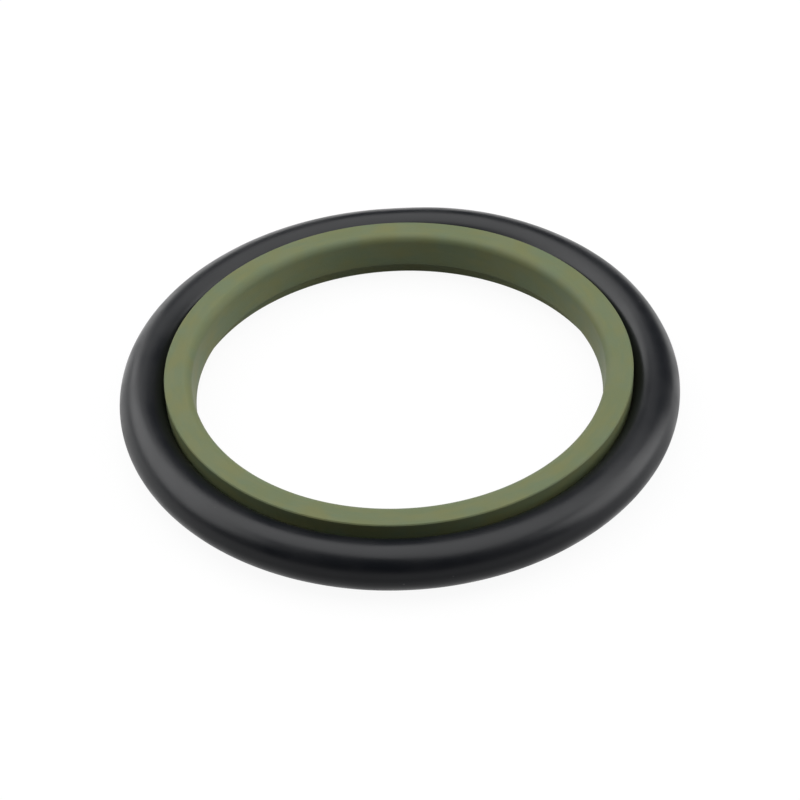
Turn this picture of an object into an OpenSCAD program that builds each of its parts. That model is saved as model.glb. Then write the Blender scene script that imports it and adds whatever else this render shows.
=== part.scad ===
// Step seal for a hydraulic piston rod: a turned sealing ring that bears on the rod, and a rubber O-ring
// stretched round it that presses it inwards. The rod's axis is Z. The seal lies flat on its pressure
// side, which is Z = 0, with the low-pressure side up.

/* [Rod] */
// Diameter of the rod that the seal bears on
rod_d = 45; // [20:1:110]
// How much smaller than the rod the lip is bored
lip_squeeze = 0.1; // [0:0.02:0.3]

/* [Sealing ring] */
// Thickness of the ring, from the rod out to the O-ring
ring_t = 3.2; // [3:0.05:5]
// Width of the ring, along the rod
ring_w = 5.9; // [5:0.1:8]
// Bevel on both outside corners
edge_bevel = 0.12; // [0.05:0.01:0.4]

/* [Lip and taper] */
// Width of the plain land that touches the rod
land_w = 0.4; // [0.2:0.05:0.8]
// Height of the land above the pressure side
land_z = 2.15; // [1.4:0.05:2.8]
// Angle at which the bore opens above the land
taper_a = 5; // [2:0.5:12]
// Radius of the round edge at the mouth of the bore
mouth_round = 0.95; // [0.3:0.05:1.3]

/* [Step] */
// Depth of the step, from the land out to the wall of the recess
step_t = 1.15; // [0.6:0.05:1.9]
// Slope of the step's flank, measured from the ring's faces
flank_a = 30; // [10:1:45]
// Bevel at the mouth of the recess
recess_bevel = 0.3; // [0.1:0.05:0.6]

/* [O-ring] */
// Diameter of the cord, stretched round the ring
cord_d = 5.28; // [4:0.02:6.4]
// How deep the cord is flattened where it grips the ring
cord_flat = 0.12; // [0.02:0.02:0.4]

/* [Hidden] */

// Sides of every round shape
$fn = 180;

ring_colour = [0.48, 0.53, 0.37];
rubber_colour = [0.10, 0.10, 0.11];

// Radii of the sealing ring, from the rod outwards
lip_r = (rod_d - lip_squeeze) / 2;
recess_r = lip_r + step_t;
ring_r = rod_d / 2 + ring_t;

// Heights in the bore, from the pressure side upwards
flank_z = land_z - step_t * tan(flank_a);
taper_z = land_z + land_w;

// The taper runs from the land's upper edge up to the face, where it would meet it in a sharp corner
corner_r = lip_r + (ring_w - taper_z) * tan(taper_a);

// The round edge takes that corner off, and touches both the face and the taper. This is its middle
round_z = ring_w - mouth_round;
round_x = lip_r + (round_z - taper_z) * tan(taper_a) + mouth_round / cos(taper_a);

// How far the cut that makes it reaches from that middle, which is well past the corner
cut_reach = 2 * mouth_round;

// The cord lies midway along the ring's outside
cord_x = ring_r + cord_d / 2 - cord_flat;
cord_z = ring_w / 2;

// Half section of the sealing ring with a sharp mouth: outside wall first, then down the bore
module sharp_section() {
    polygon([
        [recess_r + recess_bevel, 0],
        [ring_r - edge_bevel, 0],
        [ring_r, edge_bevel],
        [ring_r, ring_w - edge_bevel],
        [ring_r - edge_bevel, ring_w],
        [corner_r, ring_w],
        [lip_r, taper_z],
        [lip_r, land_z],
        [recess_r, flank_z],
        [recess_r, recess_bevel]
    ]);
}

// What the round edge takes off at the mouth, between the face and the taper
module mouth_cut() {
    difference() {
        polygon([
            [round_x, round_z],
            [round_x, round_z + cut_reach],
            [round_x - cut_reach * cos(taper_a), round_z + cut_reach],
            [round_x - cut_reach * cos(taper_a), round_z + cut_reach * sin(taper_a)]
        ]);
        translate([round_x, round_z])
            circle(r = mouth_round);
    }
}

module step_ring_section() {
    difference() {
        sharp_section();
        mouth_cut();
    }
}

// Half section of the O-ring: a round cord with a flat band where it grips the sealing ring
module o_ring_section() {
    difference() {
        translate([cord_x, cord_z])
            circle(d = cord_d);
        translate([0, cord_z - cord_d / 2])
            square([ring_r, cord_d]);
    }
}

module step_ring() {
    color(ring_colour)
        rotate_extrude()
            step_ring_section();
}

module o_ring() {
    color(rubber_colour)
        rotate_extrude()
            o_ring_section();
}

step_ring();
o_ring();
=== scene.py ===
# %% [markdown]
# A step seal for a hydraulic rod
#
# The object is a seal of two rings. The inner one is turned from olive green filled plastic and
# bears on the rod. The outer one is a black rubber O-ring, stretched round the first, which
# presses it inwards. Both have a section that is the same all the way round, so both are made in
# one way here: a section is drawn as a curve, and Geometry Nodes sweep it round a circle.

# %% Load the frame
import math

import bpy
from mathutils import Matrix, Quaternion, Vector


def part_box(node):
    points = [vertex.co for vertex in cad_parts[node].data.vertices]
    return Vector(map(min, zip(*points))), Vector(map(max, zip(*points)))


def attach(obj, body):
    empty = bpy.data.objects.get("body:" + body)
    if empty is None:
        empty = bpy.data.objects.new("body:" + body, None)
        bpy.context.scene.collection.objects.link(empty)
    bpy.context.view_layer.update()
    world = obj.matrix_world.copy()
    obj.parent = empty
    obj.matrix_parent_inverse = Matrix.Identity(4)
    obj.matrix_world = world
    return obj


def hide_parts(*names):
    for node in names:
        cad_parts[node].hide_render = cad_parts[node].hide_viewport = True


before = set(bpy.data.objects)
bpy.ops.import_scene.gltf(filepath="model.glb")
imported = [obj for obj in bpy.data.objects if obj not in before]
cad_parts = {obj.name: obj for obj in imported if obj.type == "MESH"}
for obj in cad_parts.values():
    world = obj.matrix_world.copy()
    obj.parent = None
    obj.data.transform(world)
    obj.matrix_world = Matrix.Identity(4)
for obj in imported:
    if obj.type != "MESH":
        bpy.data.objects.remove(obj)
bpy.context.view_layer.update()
MM = 0.001

# %% [markdown]
# The sizes
#
# What the frame can tell is measured on it: how wide and how tall each ring is. The sections have
# more corners than a box can tell, so those few sizes are written down here in millimetres, with
# the names that the maker of such a seal gives them. The rubber ring is only gripped, so it sags
# by a tenth of a millimetre on the table, and on the far right it has ridden up the wall a little,
# as such a ring does when it is put on by hand.

# %% Measure the rings
ring_low, ring_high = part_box("step_ring")
cord_low, cord_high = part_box("o_ring")

RING_R = ring_high.x
RING_W = ring_high.z - ring_low.z
CORD_R = (cord_high.z - cord_low.z) / 2
CORD_Z = (cord_high.z + cord_low.z) / 2
CORD_PATH_R = cord_high.x - CORD_R

LIP_R = 22.45 * MM
LAND_Z = 2.15 * MM
LAND_W = 0.4 * MM
TAPER_ANGLE = math.radians(5)
MOUTH_ROUND = 0.95 * MM
STEP_T = 1.15 * MM
FLANK_ANGLE = math.radians(30)
RECESS_BEVEL = 0.3 * MM
EDGE_BEVEL = 0.12 * MM
TOOL_ROUND = 0.06 * MM
CORD_SAG = 0.1 * MM
CORD_LIFT = 0.4 * MM
LIFT_AZIMUTH = math.radians(51)
LIFT_SPREAD = math.radians(40)
print("ring radius and width in mm:", round(RING_R / MM, 2), round(RING_W / MM, 2))
print("cord radius in mm:", round(CORD_R / MM, 2), "on a circle of", round(CORD_PATH_R / MM, 2))

# %% [markdown]
# The camera
#
# The picture looks down on the seal at about forty degrees, from a quarter of a metre away, and
# leans a little to one side. A long lens keeps the far side of the ring nearly as large as the
# near side. The camera is aimed at a point just in front of the middle of the seal.

# %% Place the camera
CAMERA_DISTANCE = 0.2503
CAMERA_ELEVATION = math.radians(40.5)
CAMERA_ROLL = math.radians(-2.74)
CAMERA_LENS = 101.95
SENSOR = 36.0
seal_centre = Vector((0, 0, CORD_Z))
aim_point = seal_centre + Vector((0, -1.27, -1.48)) * MM

camera_data = bpy.data.cameras.new("camera")
camera_data.lens = CAMERA_LENS
camera_data.sensor_width = SENSOR
camera_data.clip_start = 0.01
camera = bpy.data.objects.new("camera", camera_data)
bpy.context.scene.collection.objects.link(camera)
bpy.context.scene.camera = camera

towards_camera = Vector((0, -math.cos(CAMERA_ELEVATION), math.sin(CAMERA_ELEVATION)))
camera.location = seal_centre + towards_camera * CAMERA_DISTANCE
camera.rotation_mode = "QUATERNION"
look = (aim_point - camera.location).to_track_quat("-Z", "Y")
camera.rotation_quaternion = look @ Quaternion((0, 0, 1), CAMERA_ROLL)
print("camera at mm:", [round(x / MM, 1) for x in camera.location])

# %% [markdown]
# A helper for node trees
#
# A node tree is a list of nodes and the wires between them. One short function adds a node, sets
# its options and feeds its inputs, each with a number or with the output of another node. It
# serves the geometry trees and the materials alike, so a tree reads like a recipe.

# %% Helpers for node trees
SOCKET_KINDS = {
    "number": "NodeSocketFloat",
    "whole": "NodeSocketInt",
    "vector": "NodeSocketVector",
    "colour": "NodeSocketColor",
    "shape": "NodeSocketGeometry",
    "material": "NodeSocketMaterial",
}
print("kinds of socket:", sorted(SOCKET_KINDS))


def add(tree, kind, feeds=None, **options):
    """Adds a node, sets its options, and feeds its inputs with values or with other outputs."""
    node = tree.nodes.new(kind)
    for option, value in options.items():
        setattr(node, option, value)
    for key, feed in (feeds or {}).items():
        if isinstance(feed, bpy.types.NodeSocket):
            tree.links.new(feed, node.inputs[key])
        else:
            node.inputs[key].default_value = feed
    return node


def open_tree(tree, inputs, outputs):
    """Gives a new tree its named sockets, and returns its input and output nodes."""
    for name, kind in inputs.items():
        tree.interface.new_socket(name=name, in_out="INPUT", socket_type=SOCKET_KINDS[kind])
    for name, kind in outputs.items():
        tree.interface.new_socket(name=name, in_out="OUTPUT", socket_type=SOCKET_KINDS[kind])
    return tree.nodes.new("NodeGroupInput"), tree.nodes.new("NodeGroupOutput")


def maths(tree, operation, *feeds):
    """Adds a maths node and returns its output."""
    return add(tree, "ShaderNodeMath", dict(enumerate(feeds)), operation=operation).outputs[0]


def finish_tree(tree, shape, given, result):
    """Ends a geometry tree: smooth faces, real geometry and the material."""
    smooth = add(tree, "GeometryNodeSetShadeSmooth", {"Geometry": shape, "Shade Smooth": True})
    real = add(tree, "GeometryNodeRealizeInstances", {"Geometry": smooth.outputs[0]})
    feeds = {"Geometry": real.outputs[0], "Material": given.outputs["Material"]}
    dressed = add(tree, "GeometryNodeSetMaterial", feeds)
    tree.links.new(dressed.outputs[0], result.inputs["Ring"])


# %% [markdown]
# The sealing ring
#
# A lathe cuts this ring from a tube: flat faces, a plain outside, a round edge at the mouth of
# the bore, a shallow taper down to the narrow land that touches the rod, and under the land a
# step out to a recess. So the section has ten corners. The tree puts the points of a curve at
# those corners, rounds each one by its own radius, and sweeps the section round a circle.

# %% Corners of the section
taper_z = LAND_Z + LAND_W
recess_r = LIP_R + STEP_T
flank_z = LAND_Z - STEP_T * math.tan(FLANK_ANGLE)
mouth_r = LIP_R + (RING_W - taper_z) * math.tan(TAPER_ANGLE)

# Of each corner: how far from the axis, how high, and how much it is rounded
SECTION = {
    "Recess mouth": (recess_r + RECESS_BEVEL, 0, TOOL_ROUND),
    "Lower outside corner": (RING_R - EDGE_BEVEL, 0, TOOL_ROUND),
    "Lower outside bevel": (RING_R, EDGE_BEVEL, TOOL_ROUND),
    "Upper outside bevel": (RING_R, RING_W - EDGE_BEVEL, TOOL_ROUND),
    "Upper outside corner": (RING_R - EDGE_BEVEL, RING_W, TOOL_ROUND),
    "Bore mouth": (mouth_r, RING_W, MOUTH_ROUND),
    "Upper edge of land": (LIP_R, taper_z, TOOL_ROUND),
    "Lower edge of land": (LIP_R, LAND_Z, TOOL_ROUND),
    "Foot of flank": (recess_r, flank_z, TOOL_ROUND),
    "Recess wall": (recess_r, RECESS_BEVEL, TOOL_ROUND),
}
print("corners:", len(SECTION), "radius of the mouth in mm:", round(mouth_r / MM, 3))


# %% Tree that turns a section into a ring
def build_turned_ring_tree(corners):
    tree = bpy.data.node_groups.new("turned ring", "GeometryNodeTree")
    inputs = {name: "vector" for name in corners}
    inputs.update({"Steps in a corner": "whole", "Path radius": "number"})
    inputs.update({"Steps round": "whole", "Material": "material"})
    given, result = open_tree(tree, inputs, {"Ring": "shape"})

    count = len(corners)
    line = add(tree, "GeometryNodeCurvePrimitiveLine")
    points = add(tree, "GeometryNodeResampleCurve", {"Curve": line.outputs[0], "Count": count})
    index = add(tree, "GeometryNodeInputIndex")
    place = add(tree, "GeometryNodeIndexSwitch", data_type="VECTOR")
    for _ in range(count - 2):
        place.index_switch_items.new()
    tree.links.new(index.outputs[0], place.inputs["Index"])
    for i, name in enumerate(corners):
        tree.links.new(given.outputs[name], place.inputs[1 + i])
    wanted = add(tree, "ShaderNodeSeparateXYZ", {"Vector": place.outputs[0]})
    flat = add(tree, "ShaderNodeCombineXYZ", {"X": wanted.outputs["X"], "Y": wanted.outputs["Y"]})
    feeds = {"Geometry": points.outputs[0], "Position": flat.outputs[0]}
    section = add(tree, "GeometryNodeSetPosition", feeds)
    closed = add(tree, "GeometryNodeSetSplineCyclic", {"Geometry": section.outputs[0], "Cyclic": True})
    feeds = {
        "Curve": closed.outputs[0],
        "Count": given.outputs["Steps in a corner"],
        "Radius": wanted.outputs["Z"],
        "Limit Radius": True,
    }
    rounded = add(tree, "GeometryNodeFilletCurve", feeds, mode="POLY")

    here = add(tree, "GeometryNodeInputPosition").outputs[0]
    corner = add(tree, "ShaderNodeSeparateXYZ", {"Vector": here})
    from_path = maths(tree, "SUBTRACT", corner.outputs["X"], given.outputs["Path radius"])
    height = maths(tree, "MULTIPLY", corner.outputs["Y"], -1.0)
    beside_path = add(tree, "ShaderNodeCombineXYZ", {"X": from_path, "Y": height})
    feeds = {"Geometry": rounded.outputs[0], "Position": beside_path.outputs[0]}
    profile = add(tree, "GeometryNodeSetPosition", feeds)
    feeds = {"Resolution": given.outputs["Steps round"], "Radius": given.outputs["Path radius"]}
    path = add(tree, "GeometryNodeCurvePrimitiveCircle", feeds, mode="RADIUS")
    feeds = {"Curve": path.outputs[0], "Profile Curve": profile.outputs[0]}
    swept = add(tree, "GeometryNodeCurveToMesh", feeds)
    upright = add(tree, "GeometryNodeFlipFaces", {"Mesh": swept.outputs[0]})
    finish_tree(tree, upright.outputs[0], given, result)
    return tree


ring_tree = build_turned_ring_tree(SECTION)
print("turned ring tree:", len(ring_tree.nodes), "nodes")


# %% [markdown]
# The rubber ring
#
# An O-ring is a round cord joined into a ring, so its shape is a circle swept round a circle. Three
# things keep it from being a perfect doughnut. It grips the turned ring, so it has a narrow flat
# band there: points that would lie inside the turned ring are moved out to its wall. Rubber comes
# from its mould a little uneven, so each point sinks by a hair's breadth that noise picks. And one
# side is raised, by most in the named direction and by less and less to either side of it.

# %% Tree that makes the rubber ring
def build_cord_ring_tree():
    tree = bpy.data.node_groups.new("cord ring", "GeometryNodeTree")
    inputs = {"Cord radius": "number", "Path radius": "number", "Height": "number"}
    inputs.update({"Grip radius": "number", "Steps round cord": "whole", "Steps round": "whole"})
    inputs.update({"Unevenness": "number", "Patch size": "number", "Seed": "number"})
    inputs.update({"Lift": "number", "Lifted side": "vector", "Lift spread": "number"})
    inputs["Material"] = "material"
    given, result = open_tree(tree, inputs, {"Ring": "shape"})

    feeds = {"Resolution": given.outputs["Steps round"], "Radius": given.outputs["Path radius"]}
    path = add(tree, "GeometryNodeCurvePrimitiveCircle", feeds, mode="RADIUS")
    feeds = {"Resolution": given.outputs["Steps round cord"], "Radius": given.outputs["Cord radius"]}
    cord = add(tree, "GeometryNodeCurvePrimitiveCircle", feeds, mode="RADIUS")
    feeds = {"Curve": path.outputs[0], "Profile Curve": cord.outputs[0]}
    swept = add(tree, "GeometryNodeCurveToMesh", feeds)

    here = add(tree, "GeometryNodeInputPosition").outputs[0]
    outwards = add(tree, "GeometryNodeInputNormal").outputs[0]
    fineness = maths(tree, "DIVIDE", 1.0, given.outputs["Patch size"])
    feeds = {"Vector": here, "W": given.outputs["Seed"], "Scale": fineness, "Detail": 1.0}
    patches = add(tree, "ShaderNodeTexNoise", feeds, noise_dimensions="4D")
    sink = maths(tree, "MULTIPLY", patches.outputs[0], given.outputs["Unevenness"])
    inwards = maths(tree, "MULTIPLY", sink, -1.0)
    shift = add(tree, "ShaderNodeVectorMath", {0: outwards, "Scale": inwards}, operation="SCALE")
    feeds = {"Geometry": swept.outputs[0], "Offset": shift.outputs[0]}
    uneven = add(tree, "GeometryNodeSetPosition", feeds)

    flat_here = add(tree, "ShaderNodeVectorMath", {0: here, 1: (1, 1, 0)}, operation="MULTIPLY")
    from_axis = add(tree, "ShaderNodeVectorMath", {0: flat_here.outputs[0]}, operation="LENGTH")
    ratio = maths(tree, "DIVIDE", given.outputs["Grip radius"], from_axis.outputs["Value"])
    stretch = maths(tree, "MAXIMUM", ratio, 1.0)
    wider = add(tree, "ShaderNodeCombineXYZ", {"X": stretch, "Y": stretch, "Z": 1.0})
    gripped = add(tree, "ShaderNodeVectorMath", {0: here, 1: wider.outputs[0]}, operation="MULTIPLY")
    outer_side = add(tree, "ShaderNodeVectorMath", {0: flat_here.outputs[0]}, operation="NORMALIZE")
    feeds = {0: outer_side.outputs[0], 1: given.outputs["Lifted side"]}
    towards = add(tree, "ShaderNodeVectorMath", feeds, operation="DOT_PRODUCT")
    edge = maths(tree, "COSINE", given.outputs["Lift spread"])
    feeds = {"Value": towards.outputs["Value"], "From Min": edge, "From Max": 1.0}
    feeds["To Max"] = given.outputs["Lift"]
    raised = add(tree, "ShaderNodeMapRange", feeds, interpolation_type="SMOOTHSTEP")
    height = maths(tree, "ADD", given.outputs["Height"], raised.outputs[0])
    lift = add(tree, "ShaderNodeCombineXYZ", {"Z": height})
    feeds = {"Geometry": uneven.outputs[0], "Position": gripped.outputs[0], "Offset": lift.outputs[0]}
    seated = add(tree, "GeometryNodeSetPosition", feeds)
    finish_tree(tree, seated.outputs[0], given, result)
    return tree


cord_tree = build_cord_ring_tree()
print("cord ring tree:", len(cord_tree.nodes), "nodes")

# %% [markdown]
# Shared effects for the finishes
#
# Both finishes need the same few effects at different sizes: broad patches of two tones, a fine
# grain, small specks and dust. Each effect is a node group with named inputs, built once. A group
# only gives out a colour, a mask or a height, and the shader stays in the material itself. The
# pattern is read from Object coordinates, which stay with the piece wherever it goes.


# %% Effect: patches of two tones
def new_effect(name, inputs, outputs):
    tree = bpy.data.node_groups.new(name, "ShaderNodeTree")
    return tree, *open_tree(tree, inputs, outputs)


def scaled_place(tree, given, size):
    """The place on the piece, counted in steps of the given size."""
    steps = maths(tree, "DIVIDE", 1.0, given.outputs[size])
    feeds = {0: given.outputs["Place"], "Scale": steps}
    return add(tree, "ShaderNodeVectorMath", feeds, operation="SCALE").outputs[0]


# The mix node has sockets for every kind of value, and these are the ones for colours
MIX_FACTOR = 0
MIX_FIRST = 6
MIX_SECOND = 7
MIX_RESULT = 2


def mix_colours(tree, factor, first, second):
    """Mixes two colours and returns the output."""
    feeds = {MIX_FACTOR: factor, MIX_FIRST: first, MIX_SECOND: second}
    return add(tree, "ShaderNodeMix", feeds, data_type="RGBA").outputs[MIX_RESULT]


def build_mottle():
    inputs = {"Place": "vector", "Patch size": "number"}
    inputs.update({"First tone": "colour", "Second tone": "colour"})
    tree, given, result = new_effect("mottle", inputs, {"Colour": "colour", "Mask": "number"})
    feeds = {"Vector": scaled_place(tree, given, "Patch size"), "Scale": 1.0, "Detail": 3.0}
    noise = add(tree, "ShaderNodeTexNoise", feeds)
    feeds = {"Value": noise.outputs[0], "From Min": 0.35, "From Max": 0.65}
    mask = add(tree, "ShaderNodeMapRange", feeds, interpolation_type="SMOOTHSTEP")
    tone = mix_colours(tree, mask.outputs[0], given.outputs["First tone"], given.outputs["Second tone"])
    tree.links.new(tone, result.inputs["Colour"])
    tree.links.new(mask.outputs[0], result.inputs["Mask"])
    return tree


mottle = build_mottle()
print("effect:", mottle.name)


# %% Effects: fine grain and specks
def build_grain():
    inputs = {"Place": "vector", "Grain size": "number"}
    tree, given, result = new_effect("grain", inputs, {"Height": "number"})
    feeds = {"Vector": scaled_place(tree, given, "Grain size"), "Scale": 1.0}
    feeds.update({"Detail": 2.0, "Roughness": 0.6})
    noise = add(tree, "ShaderNodeTexNoise", feeds)
    tree.links.new(noise.outputs[0], result.inputs["Height"])
    return tree


def build_specks():
    inputs = {"Place": "vector", "Cell size": "number", "Share": "number"}
    tree, given, result = new_effect("specks", inputs, {"Mask": "number"})
    feeds = {"Vector": scaled_place(tree, given, "Cell size"), "Scale": 1.0}
    cells = add(tree, "ShaderNodeTexVoronoi", feeds)
    chance = add(tree, "ShaderNodeSeparateColor", {"Color": cells.outputs["Color"]}).outputs["Red"]
    chosen = maths(tree, "LESS_THAN", chance, given.outputs["Share"])
    feeds = {"Value": cells.outputs["Distance"], "From Min": 0.32, "From Max": 0.12}
    dot = add(tree, "ShaderNodeMapRange", feeds)
    mask = maths(tree, "MULTIPLY", dot.outputs[0], chosen)
    tree.links.new(mask, result.inputs["Mask"])
    return tree


grain = build_grain()
specks = build_specks()
print("effects:", grain.name, specks.name)


# %% [markdown]
# What the lathe and the mould leave behind
#
# A lathe turns the ring past the tool, so its marks are circles round the axis. They only depend
# on how far a place is from the axis and how high it is, so noise on that one length draws them.
# Streaks in the plastic are drawn out the same way, but end after a few millimetres, so they also
# need the direction from the axis. The mould of the rubber ring leaves one line round it.

# %% Effects: lathe marks, streaks and lines round the axis
def from_axis_and_up(tree, given):
    """How far the place is from the axis, and how high it is."""
    parts = add(tree, "ShaderNodeSeparateXYZ", {"Vector": given.outputs["Place"]})
    across = add(tree, "ShaderNodeCombineXYZ", {"X": parts.outputs["X"], "Y": parts.outputs["Y"]})
    length = add(tree, "ShaderNodeVectorMath", {0: across.outputs[0]}, operation="LENGTH")
    return length.outputs["Value"], parts.outputs["Z"]


def build_lathe_marks():
    inputs = {"Place": "vector", "Pitch": "number"}
    tree, given, result = new_effect("lathe marks", inputs, {"Height": "number"})
    radius, height = from_axis_and_up(tree, given)
    along_section = maths(tree, "ADD", radius, height)
    turns = maths(tree, "DIVIDE", along_section, given.outputs["Pitch"])
    feeds = {"W": turns, "Scale": 1.0, "Detail": 2.0}
    noise = add(tree, "ShaderNodeTexNoise", feeds, noise_dimensions="1D")
    tree.links.new(noise.outputs[0], result.inputs["Height"])
    return tree


def build_streaks():
    """Two tones in patches that are drawn out along the way the ring turned on the lathe."""
    inputs = {"Place": "vector", "Radius": "number", "Length": "number", "Width": "number"}
    inputs.update({"First tone": "colour", "Second tone": "colour"})
    tree, given, result = new_effect("streaks", inputs, {"Colour": "colour"})
    feeds = {0: given.outputs["Place"], 1: (1, 1, 0)}
    flat = add(tree, "ShaderNodeVectorMath", feeds, operation="MULTIPLY")
    outwards = add(tree, "ShaderNodeVectorMath", {0: flat.outputs[0]}, operation="NORMALIZE")
    lengths = maths(tree, "DIVIDE", given.outputs["Radius"], given.outputs["Length"])
    feeds = {0: outwards.outputs[0], "Scale": lengths}
    around = add(tree, "ShaderNodeVectorMath", feeds, operation="SCALE")
    radius, height = from_axis_and_up(tree, given)
    aside = maths(tree, "SUBTRACT", radius, height)
    widths = maths(tree, "DIVIDE", aside, given.outputs["Width"])
    across = add(tree, "ShaderNodeCombineXYZ", {"Z": widths})
    feeds = {0: around.outputs[0], 1: across.outputs[0]}
    both = add(tree, "ShaderNodeVectorMath", feeds, operation="ADD")
    noise = add(tree, "ShaderNodeTexNoise", {"Vector": both.outputs[0], "Scale": 1.0, "Detail": 3.0})
    feeds = {"Value": noise.outputs[0], "From Min": 0.4, "From Max": 0.6}
    mask = add(tree, "ShaderNodeMapRange", feeds)
    tone = mix_colours(tree, mask.outputs[0], given.outputs["First tone"], given.outputs["Second tone"])
    tree.links.new(tone, result.inputs["Colour"])
    return tree


def build_round_line():
    inputs = {"Place": "vector", "Radius": "number", "Height": "number", "Width": "number"}
    tree, given, result = new_effect("round line", inputs, {"Mask": "number"})
    radius, height = from_axis_and_up(tree, given)
    aside = maths(tree, "SUBTRACT", radius, given.outputs["Radius"])
    above = maths(tree, "SUBTRACT", height, given.outputs["Height"])
    both = add(tree, "ShaderNodeCombineXYZ", {"X": aside, "Y": above})
    away = add(tree, "ShaderNodeVectorMath", {0: both.outputs[0]}, operation="LENGTH")
    feeds = {"Value": away.outputs["Value"], "From Min": given.outputs["Width"], "From Max": 0.0}
    mask = add(tree, "ShaderNodeMapRange", feeds, interpolation_type="SMOOTHSTEP")
    tree.links.new(mask.outputs[0], result.inputs["Mask"])
    return tree


lathe_marks = build_lathe_marks()
streaks = build_streaks()
round_line = build_round_line()
print("effects:", lathe_marks.name, streaks.name, round_line.name)

# %% [markdown]
# Finish of the turned ring
#
# The ring is a soft, slippery plastic with a metal powder in it. That gives the dull olive green,
# patches and streaks that lean to yellow or to grey, and tiny darker specks. The lathe leaves
# fine rings, which only show where light grazes them, so they are a bump and not a colour.

# %% Filled plastic
PALE_GREEN = (0.131, 0.161, 0.092, 1)
DARK_GREEN = (0.114, 0.148, 0.078, 1)
YELLOWISH = (0.146, 0.158, 0.070, 1)
SPECK_TONE = (0.10, 0.12, 0.06, 1)
STREAK_SHARE = 0.5
SPECK_SHARE = 0.35


def effect(tree, group, place, sizes):
    """Places an effect in a material with its own values."""
    node = add(tree, "ShaderNodeGroup", node_tree=group)
    tree.links.new(place, node.inputs["Place"])
    for name, value in sizes.items():
        node.inputs[name].default_value = value
    return node


def new_material(name):
    """A material with an empty shader, and the place on the piece that patterns read."""
    material = bpy.data.materials.new(name)
    material.use_nodes = True
    tree = material.node_tree
    tree.nodes.clear()
    shader = add(tree, "ShaderNodeBsdfPrincipled")
    add(tree, "ShaderNodeOutputMaterial", {"Surface": shader.outputs[0]})
    place = add(tree, "ShaderNodeTexCoord").outputs["Object"]
    return material, tree, shader, place


def make_filled_plastic():
    material, tree, shader, place = new_material("filled_plastic")
    sizes = {"Patch size": 3.2 * MM, "First tone": PALE_GREEN, "Second tone": YELLOWISH}
    tones = effect(tree, mottle, place, sizes)
    sizes = {"Radius": LIP_R, "Length": 5 * MM, "Width": 1.1 * MM}
    sizes.update({"First tone": DARK_GREEN, "Second tone": YELLOWISH})
    drawn = effect(tree, streaks, place, sizes)
    blend = mix_colours(tree, STREAK_SHARE, tones.outputs["Colour"], drawn.outputs["Colour"])
    dots = effect(tree, specks, place, {"Cell size": 0.22 * MM, "Share": 0.25})
    faint = maths(tree, "MULTIPLY", dots.outputs["Mask"], SPECK_SHARE)
    speckled = mix_colours(tree, faint, blend, SPECK_TONE)
    tree.links.new(speckled, shader.inputs["Base Color"])

    marks = effect(tree, lathe_marks, place, {"Pitch": 0.16 * MM})
    fine = effect(tree, grain, place, {"Grain size": 0.09 * MM})
    height = maths(tree, "ADD", marks.outputs["Height"], fine.outputs["Height"])
    bump = add(tree, "ShaderNodeBump", {"Height": height, "Distance": 0.012 * MM, "Strength": 0.6})
    tree.links.new(bump.outputs[0], shader.inputs["Normal"])
    feeds = {"Value": fine.outputs["Height"], "To Min": 0.46, "To Max": 0.62}
    roughness = add(tree, "ShaderNodeMapRange", feeds)
    tree.links.new(roughness.outputs[0], shader.inputs["Roughness"])
    shader.inputs["IOR"].default_value = 1.28
    return material


filled_plastic = make_filled_plastic()
print("material:", filled_plastic.name, len(filled_plastic.node_tree.nodes), "nodes")

# %% [markdown]
# Finish of the rubber ring
#
# Moulded rubber is nearly black, and what is seen of it is the soft shine of the lamps. A slight
# grain breaks that shine up, the shine is duller in some patches than in others, and a trace of
# dust lies on top. The crest, which hands and packing rub, is a little shinier than the flank, so
# a thin coat fades in from the flank upwards. Where the two halves of the mould met, a hair line
# runs round the outside.

# %% Moulded rubber
RUBBER_TONES = ((0.0024, 0.0033, 0.0056, 1), (0.0040, 0.0048, 0.0068, 1))
DUST_TONE = (0.30, 0.30, 0.29, 1)
DUST_SHARE = 0.15
DULL_BELOW = 3.2 * MM
SHINY_ABOVE = 4.6 * MM
CREST_COAT = 0.44


def make_moulded_rubber():
    material, tree, shader, place = new_material("moulded_rubber")
    sizes = {"Patch size": 5 * MM, "First tone": RUBBER_TONES[0], "Second tone": RUBBER_TONES[1]}
    tones = effect(tree, mottle, place, sizes)
    dots = effect(tree, specks, place, {"Cell size": 0.5 * MM, "Share": 0.003})
    faint = maths(tree, "MULTIPLY", dots.outputs["Mask"], DUST_SHARE)
    colour = mix_colours(tree, faint, tones.outputs["Colour"], DUST_TONE)
    tree.links.new(colour, shader.inputs["Base Color"])

    fine = effect(tree, grain, place, {"Grain size": 0.12 * MM})
    sizes = {"Radius": cord_high.x, "Height": CORD_Z - CORD_SAG, "Width": 0.06 * MM}
    seam = effect(tree, round_line, place, sizes)
    bumps = maths(tree, "ADD", fine.outputs["Height"], seam.outputs["Mask"])
    bump = add(tree, "ShaderNodeBump", {"Height": bumps, "Distance": 0.008 * MM, "Strength": 0.5})
    tree.links.new(bump.outputs[0], shader.inputs["Normal"])
    feeds = {"Value": tones.outputs["Mask"], "To Min": 0.28, "To Max": 0.42}
    roughness = add(tree, "ShaderNodeMapRange", feeds)
    tree.links.new(roughness.outputs[0], shader.inputs["Roughness"])

    height = add(tree, "ShaderNodeSeparateXYZ", {"Vector": place}).outputs["Z"]
    feeds = {"Value": height, "From Min": DULL_BELOW, "From Max": SHINY_ABOVE, "To Max": CREST_COAT}
    handled = add(tree, "ShaderNodeMapRange", feeds)
    tree.links.new(handled.outputs[0], shader.inputs["Coat Weight"])
    shader.inputs["Coat Roughness"].default_value = 0.34
    shader.inputs["IOR"].default_value = 1.27
    return material


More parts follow.
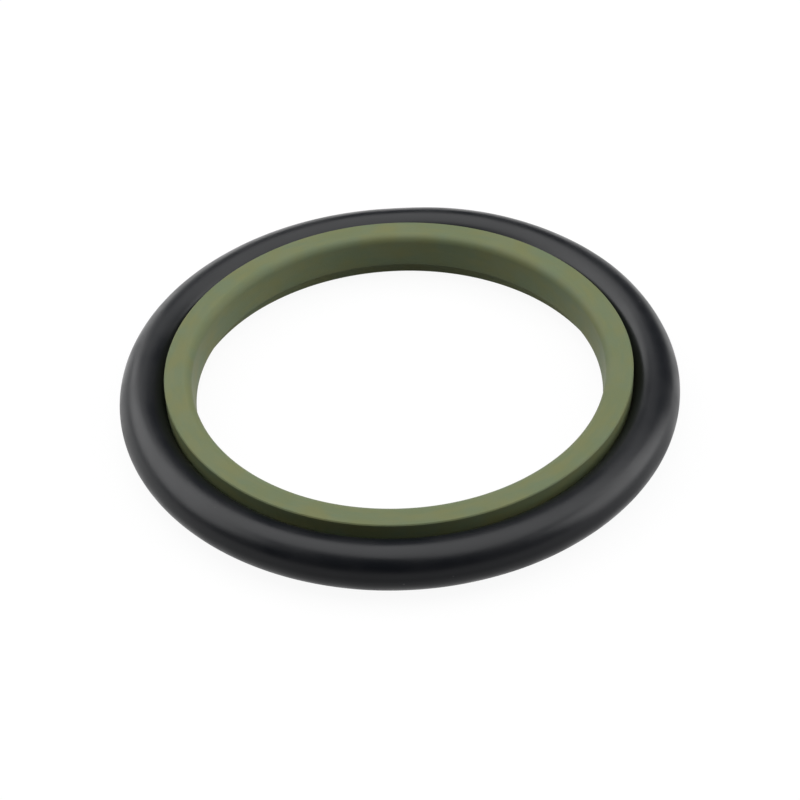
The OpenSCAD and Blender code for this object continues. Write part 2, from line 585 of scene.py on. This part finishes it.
moulded_rubber = make_moulded_rubber()
print("material:", moulded_rubber.name, len(moulded_rubber.node_tree.nodes), "nodes")

# %% [markdown]
# From trees to pieces
#
# A tree only describes a shape. An empty mesh gets it as a modifier, with each size set by the
# identifier of its socket, and Blender works it out once. A weighted normal modifier after it
# keeps the flat faces flat to the eye next to the rounded corners. The result is stored as a
# plain mesh, so the piece no longer depends on the tree.


# %% Grow a piece
def grow(name, tree, sizes, weigh_normals=False):
    base = bpy.data.objects.new("base", bpy.data.meshes.new("base"))
    bpy.context.scene.collection.objects.link(base)
    modifier = base.modifiers.new("tree", "NODES")
    modifier.node_group = tree
    sockets = {s.name: s.identifier for s in tree.interface.items_tree if s.in_out == "INPUT"}
    for size, value in sizes.items():
        modifier[sockets[size]] = value
    if weigh_normals:
        weighted = base.modifiers.new("weighted", "WEIGHTED_NORMAL")
        weighted.keep_sharp = True
    bpy.context.view_layer.update()
    graph = bpy.context.evaluated_depsgraph_get()
    mesh = bpy.data.meshes.new_from_object(base.evaluated_get(graph), depsgraph=graph)
    bpy.data.objects.remove(base)
    mesh.name = name
    piece = bpy.data.objects.new(name, mesh)
    bpy.context.scene.collection.objects.link(piece)
    print(name, len(mesh.polygons), "faces")
    return piece


STEPS_ROUND = 360
STEPS_IN_A_CORNER = 8
STEPS_ROUND_CORD = 72

sizes = {"Steps in a corner": STEPS_IN_A_CORNER, "Steps round": STEPS_ROUND}
sizes.update({"Path radius": RING_R, "Material": filled_plastic})
turned_ring = grow("turned_ring", ring_tree, {**SECTION, **sizes}, weigh_normals=True)
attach(turned_ring, "root")
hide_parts("step_ring")

sizes = {"Cord radius": CORD_R, "Path radius": CORD_PATH_R, "Grip radius": RING_R}
sizes.update({"Height": CORD_Z - CORD_SAG, "Material": moulded_rubber})
sizes.update({"Steps round cord": STEPS_ROUND_CORD, "Steps round": STEPS_ROUND})
sizes.update({"Unevenness": 0.03 * MM, "Patch size": 9 * MM, "Seed": 4.0})
lifted_side = Vector((math.cos(LIFT_AZIMUTH), math.sin(LIFT_AZIMUTH), 0))
sizes.update({"Lift": CORD_LIFT, "Lifted side": lifted_side, "Lift spread": LIFT_SPREAD})
rubber_ring = grow("rubber_ring", cord_tree, sizes)
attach(rubber_ring, "root")
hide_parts("o_ring")

# %% [markdown]
# The floor
#
# The seal lies on a white table that reaches far behind it and fills the view. To the camera, and
# in reflections, the sheet mostly glows plain white, and a share of white paint keeps the soft
# shadow under the seal. For light that bounces off it, it is a grey table, as in a dim studio, so
# the far wall of the bore stays darker than the ring's top.

# %% White floor
FLOOR_SIZE = 8.0
GLOW_SHARE = 0.93
TABLE_GREY = (0.3, 0.3, 0.3, 1)
PAINT_WHITE = (0.95, 0.95, 0.95, 1)
PLAIN_WHITE = (1, 1, 1, 1)


def seen_directly(tree):
    """1 for rays from the camera, and for rays that a gloss or glass sends on, and 0 for others."""
    rays = add(tree, "ShaderNodeLightPath")
    bright = maths(tree, "MAXIMUM", rays.outputs["Is Camera Ray"], rays.outputs["Is Glossy Ray"])
    return maths(tree, "MAXIMUM", bright, rays.outputs["Is Transmission Ray"])


def make_floor():
    half = FLOOR_SIZE / 2
    corners = [(-half, -half, 0), (half, -half, 0), (half, half, 0), (-half, half, 0)]
    mesh = bpy.data.meshes.new("floor")
    mesh.from_pydata(corners, [], [(0, 1, 2, 3)])
    floor = bpy.data.objects.new("floor", mesh)
    bpy.context.scene.collection.objects.link(floor)
    material = bpy.data.materials.new("white_floor")
    material.use_nodes = True
    tree = material.node_tree
    tree.nodes.clear()
    seen = seen_directly(tree)
    tone = mix_colours(tree, seen, TABLE_GREY, PAINT_WHITE)
    paint = add(tree, "ShaderNodeBsdfDiffuse", {"Color": tone})
    glow = add(tree, "ShaderNodeEmission", {"Color": PLAIN_WHITE, "Strength": 1.0})
    share = maths(tree, "MULTIPLY", seen, GLOW_SHARE)
    mixed = add(tree, "ShaderNodeMixShader", {0: share, 1: paint.outputs[0], 2: glow.outputs[0]})
    add(tree, "ShaderNodeOutputMaterial", {"Surface": mixed.outputs[0]})
    mesh.materials.append(material)
    return floor


floor = make_floor()
print("floor:", FLOOR_SIZE, "m")

# %% [markdown]
# The light
#
# Soft boxes give the broad, dull shine on the rubber: a wide one overhead and a little behind,
# one high and one low on the left, towards the back, one on the right, and a thin strip behind
# that catches the far rim. Nothing shines from the front, which leaves the near side of both rings
# in shade. The lamps are set by how bright they look, and are left out of the camera's sight.


# %% Soft boxes
LAMP_DISTANCE = 0.6


def soft_box(name, azimuth, elevation, width, height, brightness):
    """A square lamp that faces the seal. Azimuth 0 is the camera's side, and 90 the right."""
    a, e = math.radians(azimuth), math.radians(elevation)
    direction = Vector((math.sin(a) * math.cos(e), -math.cos(a) * math.cos(e), math.sin(e)))
    lamp = bpy.data.lights.new(name, "AREA")
    lamp.shape = "RECTANGLE"
    lamp.size = width
    lamp.size_y = height
    lamp.energy = brightness * math.pi * width * height
    box = bpy.data.objects.new(name, lamp)
    bpy.context.scene.collection.objects.link(box)
    box.location = seal_centre + direction * LAMP_DISTANCE
    box.rotation_mode = "QUATERNION"
    box.rotation_quaternion = direction.to_track_quat("Z", "Y")
    box.visible_camera = False
    return box


soft_box("overhead", 150, 78, 0.80, 0.70, 2.0)
soft_box("left", 247, 39, 0.82, 0.40, 2.65)
soft_box("left, low", 226, 11, 1.10, 0.24, 0.5)
soft_box("behind", 184, 5, 0.60, 0.09, 1.3)
soft_box("right", 90, 25, 0.55, 0.47, 3.0)
print("lamps:", len(bpy.data.lights))

# %% [markdown]
# The world
#
# The rest of the studio is dim. It lights everything a little from all sides, which keeps the
# deepest shadows open. The camera itself sees plain white past the edge of the table, so views
# from low down have the same ground. A gloss or glass sees that white too, but only next to the
# table, where a white sheet would rise behind it.

# %% Dim studio with a white horizon
STUDIO_LEVEL = 0.06
WHITE_BELOW = math.sin(math.radians(1))
DIM_ABOVE = math.sin(math.radians(5))


def make_studio():
    world = bpy.data.worlds.new("studio")
    bpy.context.scene.world = world
    world.use_nodes = True
    tree = world.node_tree
    tree.nodes.clear()
    dim = add(tree, "ShaderNodeBackground", {"Color": PLAIN_WHITE, "Strength": STUDIO_LEVEL})
    plain = add(tree, "ShaderNodeBackground", {"Color": PLAIN_WHITE, "Strength": 1.0})
    direction = add(tree, "ShaderNodeTexCoord").outputs["Generated"]
    up = add(tree, "ShaderNodeSeparateXYZ", {"Vector": direction}).outputs["Z"]
    feeds = {"Value": up, "From Min": DIM_ABOVE, "From Max": WHITE_BELOW}
    near_table = add(tree, "ShaderNodeMapRange", feeds).outputs[0]
    rays = add(tree, "ShaderNodeLightPath")
    sent_on = maths(tree, "MAXIMUM", rays.outputs["Is Glossy Ray"], rays.outputs["Is Transmission Ray"])
    shown = maths(tree, "MULTIPLY", sent_on, near_table)
    white = maths(tree, "MAXIMUM", rays.outputs["Is Camera Ray"], shown)
    either = add(tree, "ShaderNodeMixShader", {0: white, 1: dim.outputs[0], 2: plain.outputs[0]})
    add(tree, "ShaderNodeOutputWorld", {"Surface": either.outputs[0]})


make_studio()
print("studio level:", STUDIO_LEVEL)

# %% [markdown]
# The end
#
# The picture is shown as it is worked out, with no film look.

# %% Finish
bpy.context.scene.view_settings.view_transform = "Standard"
